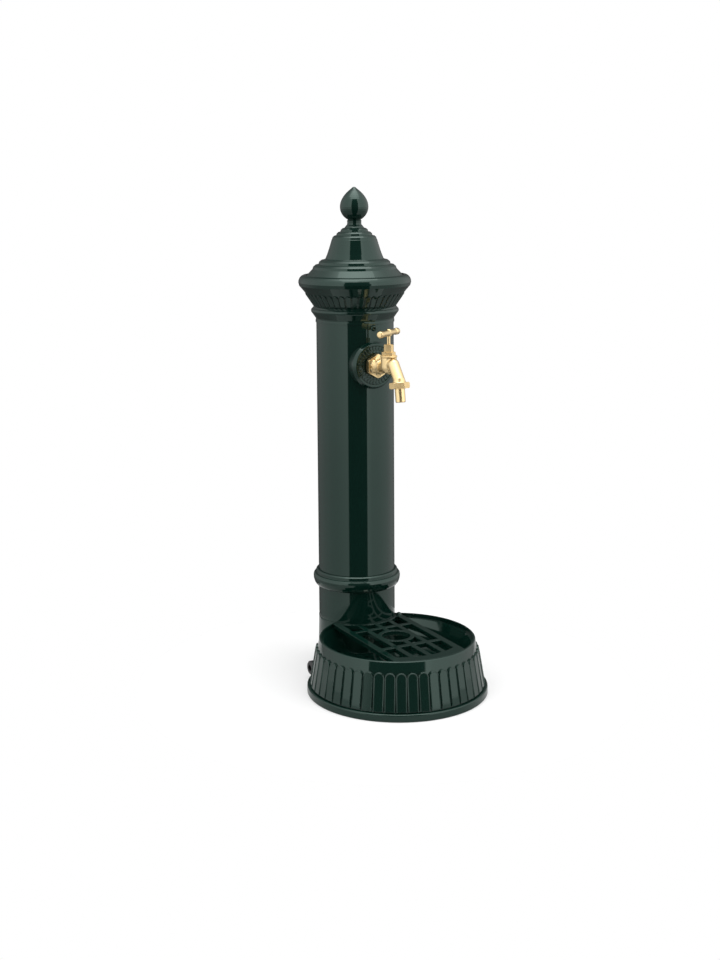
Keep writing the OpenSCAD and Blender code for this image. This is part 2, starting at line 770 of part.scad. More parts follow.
module tap_body() color(brass) {
    difference() {
        union() {
            at_tap() translate([0, 0, shank_end]) cylinder(h = tap_collar - shank_end + eps, r = shank_r);
            at_tap() translate([0, 0, tap_collar]) hex_nut(tap_hex_af, tap_hex_len, bore_r);
            at_tap() translate([0, 0, neck_face - eps])
                cylinder(h = neck_collar_len + eps, r = neck_collar_r);
            at_tap() translate([0, 0, neck_face])
                cylinder(h = stem_reach - neck_face + barrel_lap, r = neck_r);
            at_stem(barrel_round) cylinder(h = barrel_top - barrel_round, r = barrel_r);
            at_stem(barrel_round) sphere(r = barrel_r);
            spout_path(spout_r);
            at_outlet(-nozzle_neck) cylinder(h = nozzle_neck, r = spout_r + 0.7);
            at_outlet(-nozzle_neck - nozzle_len) cylinder(h = nozzle_len, r = nozzle_r);
        }
        at_tap() translate([0, -inlet_drop, shank_end - eps])
            cylinder(h = stem_reach - shank_end + eps, r = bore_r);
        at_stem(-inlet_drop) cylinder(h = seat_rise + inlet_drop + eps, r = bore_r);
        at_stem(seat_rise) cylinder(h = barrel_top, r = chamber_r);
        spout_path(bore_r - 0.2);
        at_outlet(-2 * nozzle_r) cylinder(h = 2 * nozzle_r, r = bore_r);
    }
}

// Elbow on the shank's end, and the pipe down to the foot
module tap_elbow() color(brass) {
    body_r = shank_r + 2.6;
    mouth = saddle_face - backnut_h - 0.5;
    difference() {
        union() {
            at_tap(pipe_offset) sphere(r = body_r);
            at_tap(pipe_offset) cylinder(h = mouth - pipe_offset, r = body_r);
            translate([0, pipe_y, tap_h - tap_leg]) cylinder(h = tap_leg, r = leg_r);
        }
        at_tap(mouth) cylinder(h = body_r, r = backnut_af);
        at_tap(shank_end - eps) cylinder(h = mouth, r = shank_r + thread_gap);
        at_tap(pipe_offset) cylinder(h = mouth, r = pipe_r - pipe_t);
        translate([0, pipe_y, tap_h - tap_leg - eps]) cylinder(h = tap_leg + eps, r = pipe_r - pipe_t);
        translate([0, pipe_y, tap_h - tap_leg - eps])
            cylinder(h = pipe_socket + eps, r = pipe_r + thread_gap);
    }
}

pipe_foot_h = supply_h + elbow_leg - pipe_socket + seat_gap;
pipe_head_h = tap_h - tap_leg + pipe_socket - seat_gap;
inlet_from = elbow_leg - pipe_socket + seat_gap;
shank_inner = connector_face - connector_shank_len;
inlet_to = shank_inner + pipe_socket - seat_gap;

module supply_pipe() color(copper) {
    translate([0, pipe_y, pipe_foot_h]) tube(pipe_head_h - pipe_foot_h, pipe_r, pipe_r - pipe_t);
}

module inlet_pipe() color(copper) {
    translate([-inlet_from, pipe_y, supply_h]) rotate([0, -90, 0])
        tube(inlet_to - inlet_from, pipe_r, pipe_r - pipe_t);
}

// The four compression nuts on the ends of the two pipes
module pipe_nuts() color(brass) {
    nut_bore = pipe_r + thread_gap;
    for (z = [supply_h + elbow_leg, tap_h - tap_leg - pipe_nut_h])
        translate([0, pipe_y, z]) hex_nut(pipe_nut_af, pipe_nut_h, nut_bore);
    for (x = [elbow_leg, shank_inner - pipe_nut_h])
        translate([-x, pipe_y, supply_h]) rotate([0, -90, 0]) hex_nut(pipe_nut_af, pipe_nut_h, nut_bore);
}

module base_elbow() color(brass) {
    socket_r = pipe_r + thread_gap;
    translate([0, pipe_y, supply_h]) difference() {
        union() {
            sphere(r = leg_r);
            cylinder(h = elbow_leg, r = leg_r);
            rotate([0, -90, 0]) cylinder(h = elbow_leg, r = leg_r);
        }
        sphere(r = pipe_r - pipe_t);
        for (turn = [0, -90]) rotate([0, turn, 0]) {
            cylinder(h = elbow_leg + eps, r = pipe_r - pipe_t);
            translate([0, 0, elbow_leg - pipe_socket]) cylinder(h = pipe_socket + eps, r = socket_r);
        }
    }
}

module supply_connector() color(black) {
    head = connector_face + seal_t;
    translate([0, pipe_y, supply_h]) rotate([0, -90, 0]) difference() {
        union() {
            translate([0, 0, shank_inner]) cylinder(h = head - shank_inner + eps, r = connector_shank_r);
            translate([0, 0, head]) rotate_extrude()
                polygon([[0, 0], [connector_r, 0], [connector_r, connector_reach - head - 1.5],
                         [connector_r - 1.5, connector_reach - head], [0, connector_reach - head]]);
        }
        translate([0, 0, shank_inner - eps]) cylinder(h = connector_reach, r = pipe_r - pipe_t);
        translate([0, 0, shank_inner - eps]) cylinder(h = pipe_socket + eps, r = pipe_r + thread_gap);
    }
}

module connector_seal() color(black) {
    translate([-connector_face, pipe_y, supply_h]) rotate([0, -90, 0])
        tube(seal_t, connector_r - 0.3, connector_shank_r + thread_gap);
}

// Headwork: bonnet, packing and the nut that squeezes it
bonnet_foot = 13.2;
bonnet_flange_t = 2.5;
bonnet_hex_h = 5;
bonnet_hex_af = 17;
thread_r = 4.2;
thread_top = 17;
packing_h = 5;
packing_r = 4;
gland_wall = 0.9;
packing_nut_af = 11.8;
packing_nut_h = 10.5;
gland_foot = barrel_top + bonnet_flange_t + bonnet_hex_h;
gland_top = gland_foot + packing_h + 2;
thread_room = thread_top + valve_lift + seat_gap;

module bonnet() color(brass) {
    at_stem() difference() {
        union() {
            translate([0, 0, bonnet_foot])
                cylinder(h = barrel_top - bonnet_foot + eps, r = chamber_r - thread_gap);
            translate([0, 0, barrel_top]) rotate_extrude()
                polygon([[0, 0], [barrel_r + 0.2, 0], [barrel_r + 0.7, 0.5], [barrel_r + 0.7, 2],
                         [barrel_r + 0.2, bonnet_flange_t], [0, bonnet_flange_t]]);
            translate([0, 0, barrel_top + bonnet_flange_t]) hexagon(bonnet_hex_af, bonnet_hex_h);
            translate([0, 0, gland_foot - eps])
                cylinder(h = gland_top - gland_foot + eps, r = packing_r + gland_wall);
        }
        translate([0, 0, bonnet_foot - eps])
            cylinder(h = thread_room - bonnet_foot + eps, r = thread_r + run_gap);
        translate([0, 0, bonnet_foot]) cylinder(h = gland_top, r = stem_r + run_gap);
        translate([0, 0, gland_top - packing_h]) cylinder(h = packing_h + eps, r = packing_r);
    }
}

module gland_packing() color(black) {
    at_stem(gland_top - packing_h) tube(packing_h - seat_gap, packing_r - run_gap, stem_r + run_gap);
}

module packing_nut() color(brass) {
    at_stem(gland_foot) difference() {
        hex_nut(packing_nut_af, packing_nut_h, stem_r + run_gap);
        translate([0, 0, -eps])
            cylinder(h = gland_top - gland_foot + eps, r = packing_r + gland_wall + run_gap);
    }
}

// Spindle and crossbar, which turn together
washer_t = 1.5;
jumper_t = 2;
jumper_top = seat_rise + washer_t + jumper_t;
jumper_pin_r = 1.5;
jumper_pin_len = 6;
hub_r = 4.3;
hub_h = 9.6;

module spindle() color(brass) {
    foot = jumper_top + seat_gap;
    at_stem() difference() {
        union() {
            translate([0, 0, foot]) cylinder(h = thread_top - foot, r = thread_r);
            translate([0, 0, foot]) cylinder(h = bar_rise + hub_h / 2 - foot, r = stem_r);
            translate([0, 0, bar_rise + hub_h / 2]) rotate_extrude()
                polygon([[0, 0], [stem_r + 0.6, 0], [stem_r, 0.7], [0, 0.9]]);
        }
        translate([0, 0, foot - eps])
            cylinder(h = jumper_pin_len + seat_gap + eps, r = jumper_pin_r + run_gap);
    }
}

module handle_bar() color(brass) {
    knob_len = 9.5;
    tip = bar_len / 2;
    at_stem(bar_rise) rotate(bar_turn) difference() {
        union() {
            rotate([0, 90, 0]) translate([0, 0, -tip]) rotate_extrude() polygon(concat(
                arc([knob_r - 1.8, 1.8], 1.8, -90, 0, 4),
                arc([knob_r - 1.8, knob_len - 1.8], 1.8, 0, 70, 4),
                [[bar_r, knob_len + 1], [bar_r + 0.5, tip], [bar_r, bar_len - knob_len - 1]],
                arc([knob_r - 1.8, bar_len - knob_len + 1.8], 1.8, -70, 0, 4),
                arc([knob_r - 1.8, bar_len - 1.8], 1.8, 0, 90, 4),
                [[0, bar_len], [0, 0]]));
            translate([0, 0, -hub_h / 2]) rotate_extrude()
                polygon([[0, 0], [hub_r - 0.8, 0], [hub_r, 0.8], [hub_r, hub_h - 0.8],
                         [hub_r - 0.8, hub_h], [0, hub_h]]);
        }
        translate([0, 0, -hub_h / 2 - eps]) cylinder(h = hub_h + 2 * eps, r = stem_r + 0.03);
    }
}

// Jumper valve, lifted by the spindle and pushed open by the water
module valve_jumper() color(brass) {
    at_stem(seat_rise + washer_t) {
        cylinder(h = jumper_t, r = 6.6);
        cylinder(h = jumper_t + jumper_pin_len, r = jumper_pin_r);
    }
}

module valve_washer() color(black) {
    at_stem(seat_rise + 0.05) cylinder(h = washer_t - 0.05, r = 6.2);
}

// Hose union: nut, washer and tail under the nozzle
union_top = -nozzle_neck - 0.2;
union_lip = 1.6;
tail_bore_r = tail_r - 1.9;
tail_step = 0.4;
tail_flange_r = nozzle_r - 0.2;
washer_top = -nozzle_neck - nozzle_len;
union_washer_t = 1;
tail_flange_top = washer_top - union_washer_t;
tail_flange_foot = union_top - union_h + union_lip + run_gap;

module union_nut() color(brass) {
    at_outlet(union_top - union_h) difference() {
        hex_nut(union_af, union_h, tail_r + seat_gap);
        translate([0, 0, union_lip]) cylinder(h = union_h, r = nozzle_r + thread_gap);
    }
}

module union_washer() color(black) {
    at_outlet(tail_flange_top) tube(union_washer_t, tail_flange_r, tail_bore_r);
}

module hose_tail() color(brass) {
    foot = union_top - union_h - tail_len;
    tail_top = tail_flange_top - foot;
    at_outlet() difference() {
        union() {
            translate([0, 0, foot]) rotate_extrude()
                polygon([[0, 0], [tail_r - 0.8, 0], [tail_r, 1], [tail_r, tail_len - tail_step],
                         [tail_r - tail_step, tail_len - tail_step], [tail_r - tail_step, tail_top],
                         [0, tail_top]]);
            translate([0, 0, tail_flange_foot])
                cylinder(h = tail_flange_top - tail_flange_foot, r = tail_flange_r);
        }
        translate([0, 0, foot - eps]) cylinder(h = tail_top + 2 * eps, r = tail_bore_r);
    }
}

basin();
grate();
drain_strainer();
drain_screw();
drain_tail();
drain_gasket();
column_socket();
column_tube();
capital();
roof();
finial();
tie_rod();
rod_washer();
rod_nut();
rosette();
rosette_screw();
tap_washer();
tap_body();
tap_saddle();
tap_backnut();
tap_elbow();
supply_pipe();
pipe_nuts();
base_elbow();
inlet_pipe();
supply_connector();
connector_seal();
bonnet();
packing_nut();
gland_packing();
spindle();
handle_bar();
valve_jumper();
valve_washer();
union_nut();
union_washer();
hose_tail();
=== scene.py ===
import json
from math import cos, pi, radians, sin

import bmesh
import bpy
from mathutils import Matrix, Vector


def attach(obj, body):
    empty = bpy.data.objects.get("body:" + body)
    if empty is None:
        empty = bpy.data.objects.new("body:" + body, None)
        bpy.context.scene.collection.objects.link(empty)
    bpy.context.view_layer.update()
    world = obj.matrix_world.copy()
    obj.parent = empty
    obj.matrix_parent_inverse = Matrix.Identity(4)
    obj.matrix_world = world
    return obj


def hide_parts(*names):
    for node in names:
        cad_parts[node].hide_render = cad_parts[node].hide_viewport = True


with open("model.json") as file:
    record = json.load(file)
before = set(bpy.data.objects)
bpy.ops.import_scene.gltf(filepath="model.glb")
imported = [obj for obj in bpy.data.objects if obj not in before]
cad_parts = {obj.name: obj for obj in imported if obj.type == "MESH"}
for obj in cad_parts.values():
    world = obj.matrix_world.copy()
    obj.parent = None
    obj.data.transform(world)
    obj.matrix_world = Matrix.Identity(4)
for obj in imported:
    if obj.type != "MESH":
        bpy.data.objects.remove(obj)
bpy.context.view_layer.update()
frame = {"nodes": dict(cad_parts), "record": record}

print("frame loaded:", len(frame["nodes"]), "nodes")

# Places that several pieces share, in metres where nothing else is said
place = {
    "columnY": 0.08585,  # axis of the column
    "basinY": -0.03865,  # axis of the basin
    "cameraTurn": 26.26,  # degrees that the camera stands to the left of the front
}


class Value:
    # a number in a node tree; Python's operators on it add Math nodes
    def __init__(self, finish, socket):
        self.finish, self.socket = finish, socket

    def maths(self, operation, *others):
        return self.finish.node("ShaderNodeMath", {"operation": operation}, dict(enumerate((self, *others))))

    def __add__(self, other):
        return self.maths("ADD", other)

    __radd__ = __add__

    def __mul__(self, other):
        return self.maths("MULTIPLY", other)

    __rmul__ = __mul__

    def __sub__(self, other):
        return self.maths("SUBTRACT", other)

    def __rsub__(self, other):
        return (self * -1.0) + other

    def __truediv__(self, other):
        return self.maths("DIVIDE", other)

    def below(self, edge, soft):
        return self.finish.node("ShaderNodeMapRange", {"interpolation_type": "SMOOTHSTEP"},
                                {0: self, 1: edge - soft, 2: edge + soft, 3: 1.0, 4: 0.0})

    def above(self, edge, soft):
        return 1 - self.below(edge, soft)


class Finish:
    # a material or world with its own node tree
    def __init__(self, owner):
        owner.use_nodes = True
        self.owner, self.tree = owner, owner.node_tree
        self.tree.nodes.clear()

    def node(self, kind, settings, sockets, output=0):
        made = self.tree.nodes.new(kind)
        for name, setting in settings.items():
            if name == "stops":
                ramp = made.color_ramp
                while len(ramp.elements) < len(setting):
                    ramp.elements.new(0.5)
                for element, (position, colour) in zip(ramp.elements, setting):
                    element.position, element.color = position, (*colour, 1.0)
            else:
                setattr(made, name, setting)
        for key, value in sockets.items():
            if isinstance(value, Value):
                self.tree.links.new(value.socket, made.inputs[key])
            elif isinstance(value, (tuple, list)) and made.inputs[key].type == "RGBA":
                made.inputs[key].default_value = (*value, 1.0)
            else:
                made.inputs[key].default_value = value
        return Value(self, made.outputs[output]) if made.outputs else made

    def place(self, centre=(0, 0, 0), turn=(0, 0, 0), scale=(1, 1, 1)):
        coords = self.node("ShaderNodeTexCoord", {}, {}, "Object")
        moved = tuple(-c for c in centre)
        return self.node("ShaderNodeMapping", {"vector_type": "POINT"},
                         {"Vector": coords, "Location": moved, "Rotation": turn, "Scale": scale})

    def ramp(self, factor, stops):
        grey = [(position, (level, level, level)) for position, level in stops]
        return self.node("ShaderNodeValToRGB", {"stops": grey}, {"Fac": factor})

    def noise(self, where, scale, detail=2.0, rough=0.5):
        return self.node("ShaderNodeTexNoise", {}, {"Vector": where, "Scale": scale, "Detail": detail,
                                                    "Roughness": rough})

    def mix(self, factor, first, second):
        return self.node("ShaderNodeMix", {"data_type": "RGBA"}, {0: factor, 6: first, 7: second}, 2)

    def edge(self, radius):
        # shading of edges that are rounded by this radius
        return self.node("ShaderNodeBevel", {"samples": 6}, {"Radius": radius})

    def bump(self, height, strength, distance, under):
        return self.node("ShaderNodeBump", {}, {"Height": height, "Strength": strength, "Distance": distance,
                                                "Normal": under})

    def surface(self, **sockets):
        named = {name.replace("_", " "): value for name, value in sockets.items()}
        shader = self.node("ShaderNodeBsdfPrincipled", {}, named)
        self.node("ShaderNodeOutputMaterial", {}, {"Surface": shader})
        return self.owner


def newFinish(name):
    return Finish(bpy.data.materials.new(name))


coat = {
    "colour": (0.0014, 0.0112, 0.0078),
    "paler": (0.0022, 0.0146, 0.0105),
    "tint": (0.77, 1.0, 0.91),  # of the gloss
    "roughness": 0.045,
    "peelScale": 520.0,  # waves per metre of the sprayed coat's skin
    "peelDepth": 0.000005,
    "castScale": 38.0,  # waves per metre of the casting under it
    "castDepth": 0.00002,
    "cloudScale": 22.0,
    "cloudRoughness": 0.03,
    "skinRoughness": 0.02,
}


def makeCoat(name, edge):
    f = newFinish(name)
    where = f.place()
    cloud = f.noise(where, coat["cloudScale"], 3.0)
    skin = f.noise(where, coat["peelScale"], 2.0, 0.55)
    waves = f.noise(where, coat["castScale"], 1.0)
    first = f.bump(waves, 0.3, coat["castDepth"], f.edge(edge))
    relief = f.bump(skin, 0.4, coat["peelDepth"], first)
    worn = coat["roughness"] + coat["cloudRoughness"] * cloud + coat["skinRoughness"] * skin
    return f.surface(Base_Color=f.mix(cloud, coat["colour"], coat["paler"]), Roughness=worn, IOR=1.5,
                     Specular_Tint=coat["tint"], Normal=relief)


brass = {
    "colour": (0.74, 0.54, 0.26),
    "paler": (0.82, 0.65, 0.37),
    "edge": 0.00015,  # radius of its rounded edges
    "cloudScale": 90.0,
    "polishScale": 700.0,
    "castScale": 330.0,
    "cloudRoughness": 0.07,
    "polishRoughness": 0.05,
}


def makeBrass(name, roughness, castDepth):
    f = newFinish(name)
    where = f.place()
    cloud = f.noise(where, brass["cloudScale"], 2.0)
    polish = f.noise(f.place(scale=(1.0, 1.0, 9.0)), brass["polishScale"], 2.0)
    cast = f.noise(where, brass["castScale"], 2.0, 0.6)
    relief = f.bump(cast * 0.7 + polish * 0.3, 0.5, castDepth, f.edge(brass["edge"]))
    worn = roughness + brass["cloudRoughness"] * cloud + brass["polishRoughness"] * polish
    return f.surface(Base_Color=f.mix(cloud, brass["colour"], brass["paler"]), Metallic=1.0, Roughness=worn,
                     Normal=relief)


plain = {
    "edge": 0.0003,  # radius of the rounded edges of the other metals, rubber and plastic
    "brushScale": 900.0,
    "metalClouds": 60.0,
    "dullClouds": 70.0,
    "spread": 0.12,  # how much rougher the grain is in places
}


def makeMetal(name, colour, paler, roughness, brush, depth):
    f = newFinish(name)
    lines = f.noise(f.place(scale=brush), plain["brushScale"], 2.0, 0.6)
    cloud = f.noise(f.place(), plain["metalClouds"], 2.0)
    return f.surface(Base_Color=f.mix(cloud, colour, paler), Metallic=1.0,
                     Roughness=roughness + plain["spread"] * lines,
                     Normal=f.bump(lines, 0.4, depth, f.edge(plain["edge"])))


def makeDull(name, colour, paler, roughness, scale, depth):
    f = newFinish(name)
    where = f.place()
    grain = f.noise(where, scale, 3.0, 0.6)
    cloud = f.noise(where, plain["dullClouds"], 2.0)
    return f.surface(Base_Color=f.mix(cloud, colour, paler), Roughness=roughness + plain["spread"] * grain,
                     Normal=f.bump(grain, 0.5, depth, f.edge(plain["edge"])))


# coats, by the radius of the edges under them
greenCoat = makeCoat("greenCoat", 0.00025)
castingCoat = makeCoat("castingCoat", 0.0006)
reliefCoat = makeCoat("reliefCoat", 0.0011)
# brass, by roughness and depth of its grain
castBrass = makeBrass("castBrass", 0.30, 0.000012)
turnedBrass = makeBrass("turnedBrass", 0.24, 0.000008)
satinBrass = makeBrass("satinBrass", 0.50, 0.000008)
stainless = makeMetal("stainless", (0.42, 0.40, 0.36), (0.52, 0.50, 0.46), 0.26, (1, 6, 1), 0.00003)
zincSteel = makeMetal("zincSteel", (0.45, 0.46, 0.47), (0.58, 0.58, 0.57), 0.30, (1, 1, 5), 0.00003)
copperPipe = makeMetal("copperPipe", (0.72, 0.30, 0.16), (0.80, 0.42, 0.25), 0.22, (1, 1, 6), 0.00002)
blackRubber = makeDull("blackRubber", (0.012, 0.012, 0.012), (0.022, 0.022, 0.021), 0.62, 1500.0, 0.00004)
blackPlastic = makeDull("blackPlastic", (0.010, 0.010, 0.011), (0.018, 0.018, 0.019), 0.38, 900.0, 0.00003)

finishOfNode = {
    "basin": castingCoat, "grate": reliefCoat, "column_socket": castingCoat, "column_tube": greenCoat,
    "capital": greenCoat, "roof": greenCoat, "finial": greenCoat, "rosette": reliefCoat,
    "rosette_screw": greenCoat, "drain_strainer": stainless, "drain_screw": stainless,
    "drain_tail": stainless, "drain_gasket": blackRubber, "tie_rod": zincSteel, "rod_washer": zincSteel,
    "rod_nut": zincSteel, "tap_washer": blackRubber, "tap_body": castBrass, "tap_saddle": zincSteel,
    "tap_backnut": turnedBrass, "tap_elbow": castBrass, "supply_pipe": copperPipe, "pipe_nuts": turnedBrass,
    "base_elbow": castBrass, "inlet_pipe": copperPipe, "supply_connector": blackPlastic,
    "connector_seal": blackRubber, "bonnet": satinBrass, "packing_nut": satinBrass,
    "gland_packing": blackRubber, "spindle": turnedBrass, "handle_bar": turnedBrass,
    "valve_jumper": turnedBrass, "valve_washer": blackRubber, "union_nut": satinBrass,
    "union_washer": blackRubber, "hose_tail": turnedBrass,
}
for nodeName, finish in finishOfNode.items():
    node = frame["nodes"][nodeName]
    node.data.materials.clear()
    node.data.materials.append(finish)
print("finishes:", len(finishOfNode), "nodes dressed")


bodyOfNode = {n: b for b, nodes in frame["record"]["behaviour"]["bodies"].items() for n in nodes}


def copyNode(nodeName):
    # a merged copy of a solid's mesh
    bm = bmesh.new()
    bm.from_mesh(frame["nodes"][nodeName].data)
    bmesh.ops.remove_doubles(bm, verts=bm.verts, dist=2e-6)
    return bm


def standFor(nodeName, bm, pieceName, sharp):
    # the piece takes the solid's place, body and finish
    mesh = bpy.data.meshes.new(pieceName)
    bm.to_mesh(mesh)
    bm.free()
    mesh.materials.append(finishOfNode[nodeName])
    mesh.shade_smooth()
    mesh.set_sharp_from_angle(angle=radians(sharp))
    piece = bpy.data.objects.new(pieceName, mesh)
    bpy.context.scene.collection.objects.link(piece)
    flat = piece.modifiers.new("flatFaces", "WEIGHTED_NORMAL")
    flat.keep_sharp = True
    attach(piece, bodyOfNode[nodeName])
    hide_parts(nodeName)


def melt(bm, voxel, rounds):
    # runs the shapes of a solid into each other, as in a casting
    mesh = bpy.data.meshes.new("melting")
    bm.to_mesh(mesh)
    bm.free()
    block = bpy.data.objects.new("melting", mesh)
    bpy.context.scene.collection.objects.link(block)
    remesh = block.modifiers.new("remesh", "REMESH")
    remesh.mode = "VOXEL"
    remesh.voxel_size = voxel
    smooth = block.modifiers.new("smooth", "SMOOTH")
    smooth.factor = 0.5
    smooth.iterations = rounds
    melted = bpy.data.meshes.new_from_object(block.evaluated_get(bpy.context.evaluated_depsgraph_get()))
    bpy.data.objects.remove(block)
    bm = bmesh.new()
    bm.from_mesh(melted)
    return bm


def cutOff(bm, y, keepFront):
    # keeps what lies in front of or behind a plane across the tap's axis, and closes the cut
    cut = bmesh.ops.bisect_plane(bm, geom=bm.verts[:] + bm.edges[:] + bm.faces[:], plane_co=(0, y, 0),
                                 plane_no=(0, 1, 0), clear_outer=keepFront, clear_inner=not keepFront)
    rim = [g for g in cut["geom_cut"] if isinstance(g, bmesh.types.BMEdge)]
    bmesh.ops.triangle_fill(bm, edges=rim, use_beauty=True)


tap = {
    "voxel": 0.0006,  # grid of the run-together casting
    "rounds": 18,  # of smoothing
    "lap": 0.0006,  # how far the two halves reach into each other
    "sharp": 22,  # degrees between faces that keep a crisp edge
    "barVoxel": 0.0005,
    "barRounds": 10,
    "barSharp": 60,
    "neckReach": 0.0825,  # from the column's axis to the cut between hexagon and barrel
}


def makeTapBody():
    # crisp hexagon and collar behind, barrel and spout run together in front
    cut = place["columnY"] - tap["neckReach"]
    front = melt(copyNode("tap_body"), tap["voxel"], tap["rounds"])
    cutOff(front, cut + tap["lap"], True)
    body = copyNode("tap_body")
    cutOff(body, cut, False)
    joined = bpy.data.meshes.new("front")
    front.to_mesh(joined)
    front.free()
    body.from_mesh(joined)
    bmesh.ops.recalc_face_normals(body, faces=body.faces)
    standFor("tap_body", body, "tapCasting", tap["sharp"])


carving = {
    "sharp": 30,  # degrees between faces that keep a crisp edge
    "archSteps": 8,
}


def carved(nodeName, pieceName, bm):
    # carving that rides on a casting, in the plain green coat
    bmesh.ops.recalc_face_normals(bm, faces=bm.faces)
    mesh = bpy.data.meshes.new(pieceName)
    bm.to_mesh(mesh)
    bm.free()
    mesh.materials.append(greenCoat)
    mesh.shade_smooth()
    mesh.set_sharp_from_angle(angle=radians(carving["sharp"]))
    piece = bpy.data.objects.new(pieceName, mesh)
    bpy.context.scene.collection.objects.link(piece)
    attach(piece, bodyOfNode[nodeName])


# section of a rim: distance from the outline and height, as shares of "rim"
ridge = [(0.0, -0.7), (0.0, 0.0), (1.0, 0.65), (2.0, 0.0), (2.0, -0.7)]


def blades(bm, shape, centreY, turns):
    # leaves or tongues in a ring: an arched outline with a ridged rim, and a solid face if it is thick
    lean = radians(shape["lean"])
    up, out = Vector((0, sin(lean), cos(lean))), Vector((0, -cos(lean), sin(lean)))
    top = shape["length"] - shape["topHalf"]
    arch = [pi - pi * i / carving["archSteps"] for i in range(carving["archSteps"] + 1)]
    outline = [(-shape["footHalf"], 0.0)]
    outline += [(shape["topHalf"] * cos(a), top + shape["topHalf"] * sin(a)) for a in arch]
    outline.append((shape["footHalf"], 0.0))
    for turn in turns:
        spin = Matrix.Translation((0, centreY, 0)) @ Matrix.Rotation(turn, 4, "Z")
        foot = Vector((0, -shape["foot"][0], shape["foot"][1]))

        def at(x, y, h):
            return bm.verts.new(spin @ (foot + Vector((x, 0, 0)) + up * y + out * h))

        rings = []
        for i, (x, y) in enumerate(outline):
            before, after = outline[max(i - 1, 0)], outline[min(i + 1, len(outline) - 1)]
            along = Vector((after[0] - before[0], after[1] - before[1])).normalized()
            rings.append([at(x + along.y * side * shape["rim"], y - along.x * side * shape["rim"],
                             shape["proud"] + height * shape["rim"]) for side, height in ridge])
        for first, second in zip(rings, rings[1:]):
            for k in range(len(ridge)):
                bm.faces.new((first[k], first[k - 1], second[k - 1], second[k]))
        bm.faces.new(rings[0])
        bm.faces.new(rings[-1])
        if shape["thick"]:
            face = [at(x, y, shape["proud"]) for x, y in outline]
            back = [at(x, y, shape["proud"] - shape["thick"]) for x, y in outline]
            bm.faces.new(face)
            bm.faces.new(back)
            for k in range(len(face)):
                bm.faces.new((face[k], face[k - 1], back[k - 1], back[k]))


leaf = {
    "count": 46,
    "foot": (0.0603, 0.548),  # distance from the column's axis and height
    "lean": -33.9,  # degrees towards the axis, so the leaves lean out
    "footHalf": 0.0036,  # half the width at the foot and at the arch
    "topHalf": 0.0044,
    "length": 0.0217,
    "proud": 0.0006,  # height of the face over the plane through the foot
    "thick": 0.0020,
    "rim": 0.0006,  # half the width of the rim
}
tongue = {
    "count": 48,
    "foot": (0.12233, 0.012),
    "lean": 9.53,
    "footHalf": 0.00737,
    "topHalf": 0.00737,
    "length": 0.05323,
    "proud": 0.0032,
    "thick": 0.0,
    "rim": 0.0008,
    "reach": 152.5,  # degrees from the front to the last tongue before the pedestal
    "connector": -139.0,  # turn at which the connector stands, and how far the tongues keep off it
    "keepOff": 10.2,
}


def makeCarving():
    bm = bmesh.new()
    blades(bm, leaf, place["columnY"], [(i + 0.5) * 2 * pi / leaf["count"] for i in range(leaf["count"])])
    carved("capital", "friezeLeaves", bm)
    bm = bmesh.new()
    turns = [(i + 0.5) * 2 * pi / tongue["count"] - pi for i in range(tongue["count"])]
    turns = [t for t in turns if abs(t) < radians(tongue["reach"])
             and abs(t - radians(tongue["connector"])) > radians(tongue["keepOff"])]
    blades(bm, tongue, place["basinY"], turns)
    carved("basin", "tongueRims", bm)


makeCarving()
print("carving made")
makeTapBody()
handle = melt(copyNode("handle_bar"), tap["barVoxel"], tap["barRounds"])
standFor("handle_bar", handle, "crossbar", tap["barSharp"])
print("tap made")

studio = {
    "gapLeft": -23.3,  # bearings, from the camera's, of the dark gap between two soft boxes
    "gapRight": 32.2,
    "gapTop": 52.0,  # elevation where the gap ends
    "gapFoot": -62.0,  # elevation where it starts
    "gapSideSoft": 1.0,  # degrees over which each edge fades, either way
    "gapTopSoft": 3.0,
    "gapFootSoft": 6.0,
    "lowFrom": -4.8,  # elevations between which the gap is wider
    "lowTo": 3.0,
    "lowFromSoft": 0.5,
    "lowToSoft": 1.0,
    "lowLeft": -19.0,  # how much further it reaches there
    "lowRight": 5.0,
    "gapDepth": 0.95,  # share of the light that the gap takes away
    "most": 1.5,  # brightness where "round" is 1
    # brightness round the object, from behind over the left, the camera and the right
    "round": [(0.0, 0.04), (0.04, 0.05), (0.085, 0.12), (0.15, 0.30), (0.236, 0.53), (0.333, 0.65),
              (0.42, 0.79), (0.594, 0.95), (0.633, 0.79), (0.75, 0.67), (0.85, 0.42), (0.915, 0.19),
              (0.96, 0.06), (1.0, 0.04)],
    # share of that with height, from straight down to straight up
    "rise": [(0.0, 0.25), (0.25, 0.17), (0.36, 0.20), (0.395, 0.29), (0.433, 0.322), (0.464, 0.427),
             (0.49, 0.524), (0.75, 0.532), (0.88, 0.80), (1.0, 1.0)],
    "full": 3.1,  # factor on "rise"
    "overheadFrom": 68.0,  # elevation from which the bearing no longer matters
    "overheadSoft": 16.0,
    "overhead": 0.80,  # what "round" fades to there
}


